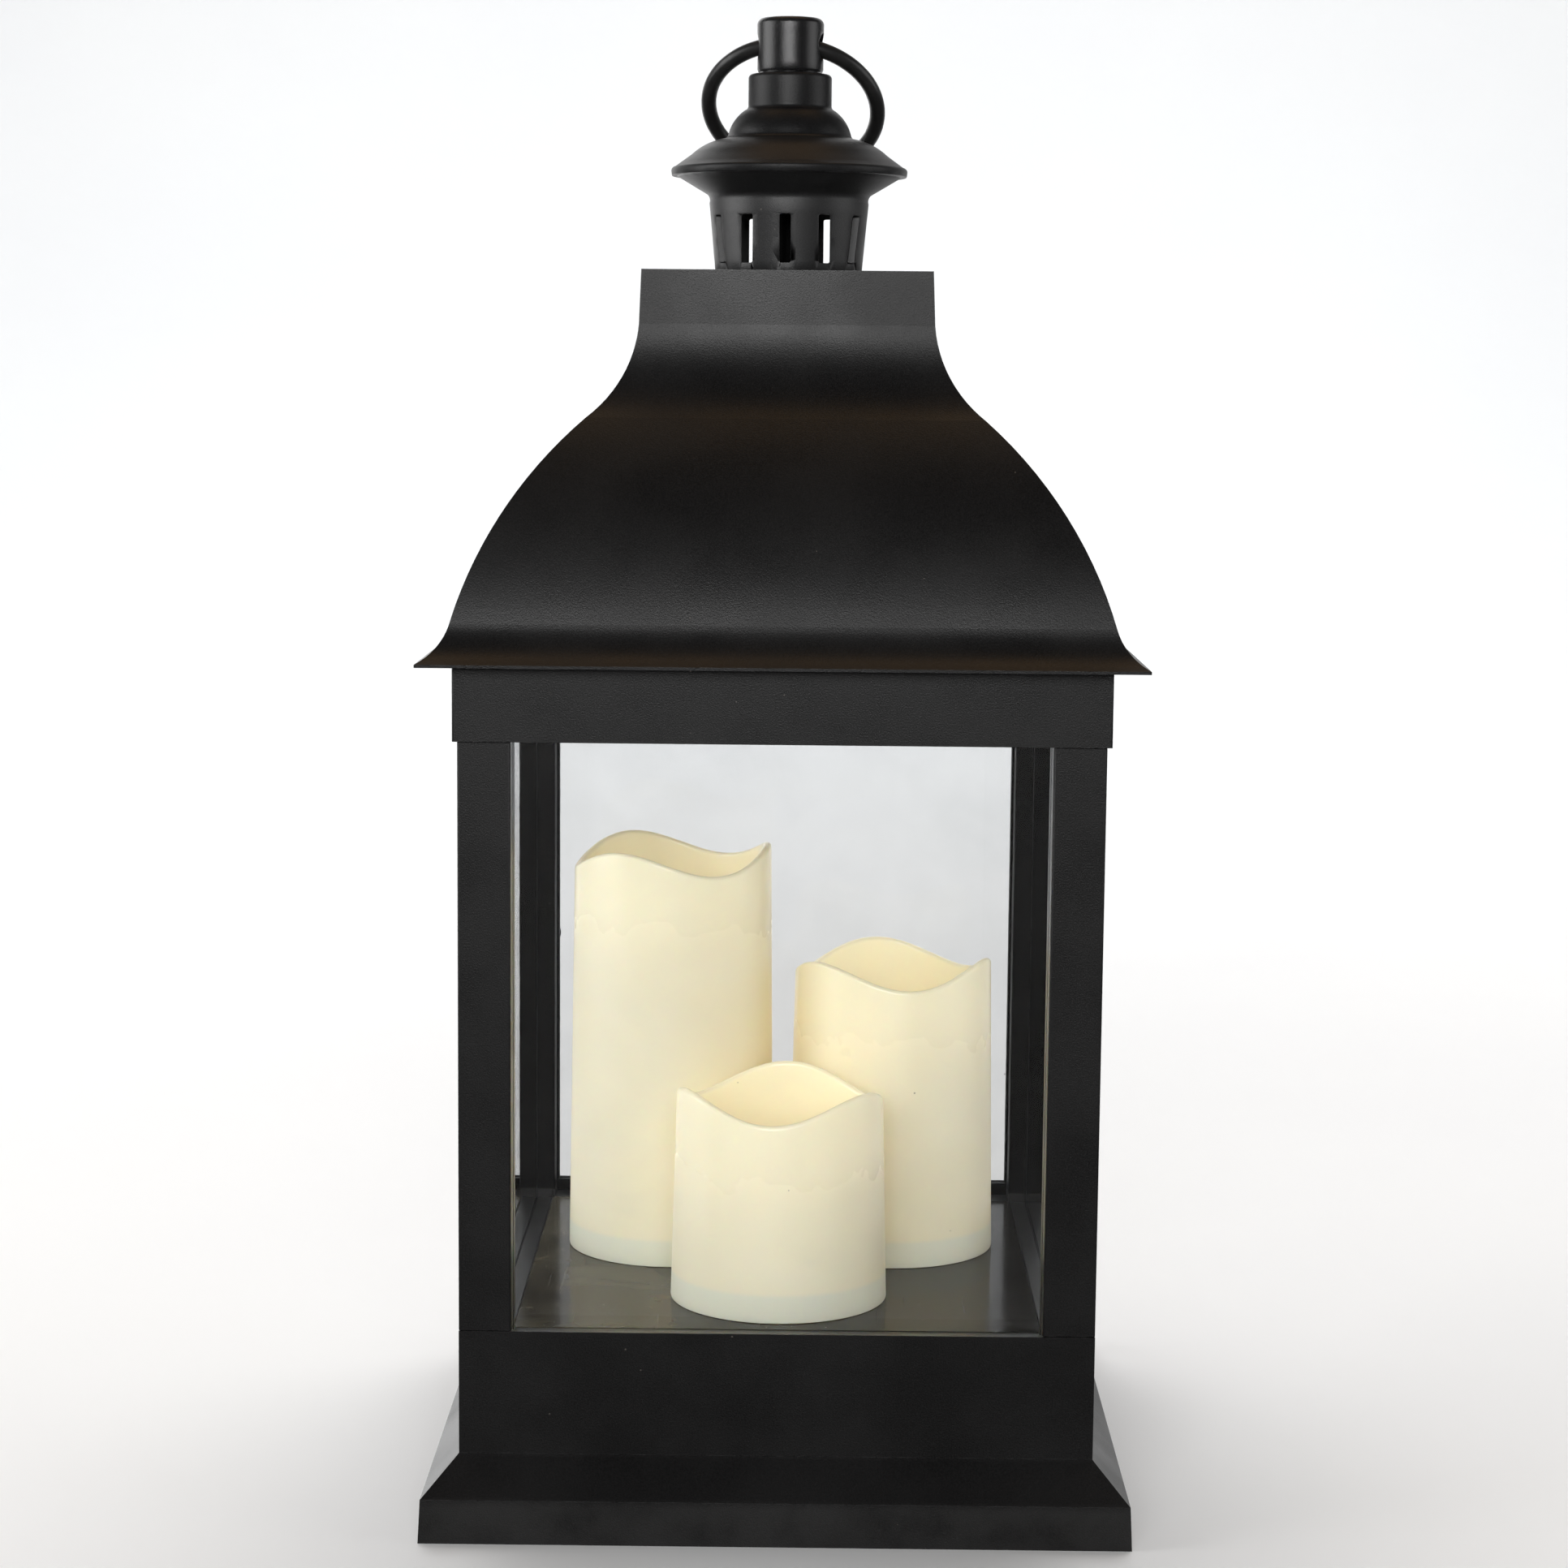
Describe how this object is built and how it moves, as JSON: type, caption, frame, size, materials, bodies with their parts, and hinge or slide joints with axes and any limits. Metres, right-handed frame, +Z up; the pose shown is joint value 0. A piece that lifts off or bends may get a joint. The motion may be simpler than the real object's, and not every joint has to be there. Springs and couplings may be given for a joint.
{
  "type": "candle lantern",
  "caption": "Square candle lantern with clear panes, stepped base, bell roof, round vented chimney and hanging ring, holding battery pillar candles.",
  "frame": {"origin": "middle of the base's underside", "axes": "+Z up, -Y towards the front pane, +Y towards the door, +X to the right seen from the front"},
  "size_m": [0.235, 0.235, 0.504],
  "materials": {
    "moulded_black": "fine-textured moulded plastic",
    "chimney_black": "fine-textured moulded plastic",
    "panel_gloss_black": "glossy sheet",
    "clear_pane": "clear",
    "ring_black_metal": "semi-gloss paint",
    "zinc_steel": "zinc plated",
    "candle_ivory": "wax-look translucent plastic",
    "flame_clear": "translucent",
    "holder_pale_green": "moulded plastic",
    "battery_jacket": "plain printed jacket",
    "board_green": "solder mask",
    "switch_black": "moulded plastic"
  },
  "bodies": {
    "lantern": {"base_shell": "moulded_black", "chimney_cap": "chimney_black", "chimney_nut": "zinc_steel", "chimney_rod": "zinc_steel", "chimney_spacer": "moulded_black", "chimney_vent": "chimney_black", "chimney_washer": "zinc_steel", "door_catch": "zinc_steel", "finial": "chimney_black", "floor_panel": "panel_gloss_black", "header_band": "moulded_black", "pane_front": "clear_pane", "pane_left": "clear_pane", "pane_right": "clear_pane", "post_foot_screws": "zinc_steel", "post_front_left": "moulded_black", "post_front_right": "moulded_black", "post_rear_left": "moulded_black", "post_rear_right": "moulded_black", "post_top_screws": "zinc_steel", "roof_screws": "zinc_steel", "roof_shell": "moulded_black"},
    "door": {"door_frame": "moulded_black", "door_pane": "clear_pane", "door_knob": "moulded_black", "door_knob_screw": "zinc_steel", "door_hinge_pins": "zinc_steel"},
    "ring": {"hanging_ring": "ring_black_metal"},
    "candle_tall": {"candle_tall_batteries": "battery_jacket", "candle_tall_battery_cover": "holder_pale_green", "candle_tall_battery_holder": "holder_pale_green", "candle_tall_contacts": "zinc_steel", "candle_tall_cover_screw": "zinc_steel", "candle_tall_flame_cover": "flame_clear", "candle_tall_lamp_board": "board_green", "candle_tall_shell": "candle_ivory"},
    "switch_tall": {"candle_tall_switch_slider": "switch_black"},
    "candle_medium": {"candle_medium_batteries": "battery_jacket", "candle_medium_battery_cover": "holder_pale_green", "candle_medium_battery_holder": "holder_pale_green", "candle_medium_contacts": "zinc_steel", "candle_medium_cover_screw": "zinc_steel", "candle_medium_flame_cover": "flame_clear", "candle_medium_lamp_board": "board_green", "candle_medium_shell": "candle_ivory"},
    "switch_medium": {"candle_medium_switch_slider": "switch_black"},
    "candle_short": {"candle_short_batteries": "battery_jacket", "candle_short_battery_cover": "holder_pale_green", "candle_short_battery_holder": "holder_pale_green", "candle_short_contacts": "zinc_steel", "candle_short_cover_screw": "zinc_steel", "candle_short_flame_cover": "flame_clear", "candle_short_lamp_board": "board_green", "candle_short_shell": "candle_ivory"},
    "switch_short": {"candle_short_switch_slider": "switch_black"}
  },
  "joints": [
    {"name": "door_hinge", "type": "hinge", "parent": "lantern", "child": "door", "pos_m": [0.09455, 0.10215, 0.1649], "axis": [0, 0, -1], "range_deg": [0, 95]},
    {"name": "ring_swing", "type": "hinge", "parent": "lantern", "child": "ring", "pos_m": [0, 0, 0.4943], "axis": [0.9928, -0.1201, 0], "range_deg": [0, 264]},
    {"name": "candle_tall_lift", "type": "slide", "parent": "lantern", "child": "candle_tall", "axis": [0, 0, 1], "range_m": [0, 0.02]},
    {"name": "switch_tall_slide", "type": "slide", "parent": "candle_tall", "child": "switch_tall", "axis": [1, 0, 0], "range_m": [0, 0.004]},
    {"name": "candle_medium_lift", "type": "slide", "parent": "lantern", "child": "candle_medium", "axis": [0, 0, 1], "range_m": [0, 0.02]},
    {"name": "switch_medium_slide", "type": "slide", "parent": "candle_medium", "child": "switch_medium", "axis": [1, 0, 0], "range_m": [0, 0.004]},
    {"name": "candle_short_lift", "type": "slide", "parent": "lantern", "child": "candle_short", "axis": [0, 0, 1], "range_m": [0, 0.02]},
    {"name": "switch_short_slide", "type": "slide", "parent": "candle_short", "child": "switch_short", "axis": [1, 0, 0], "range_m": [0, 0.004]}
  ]
}
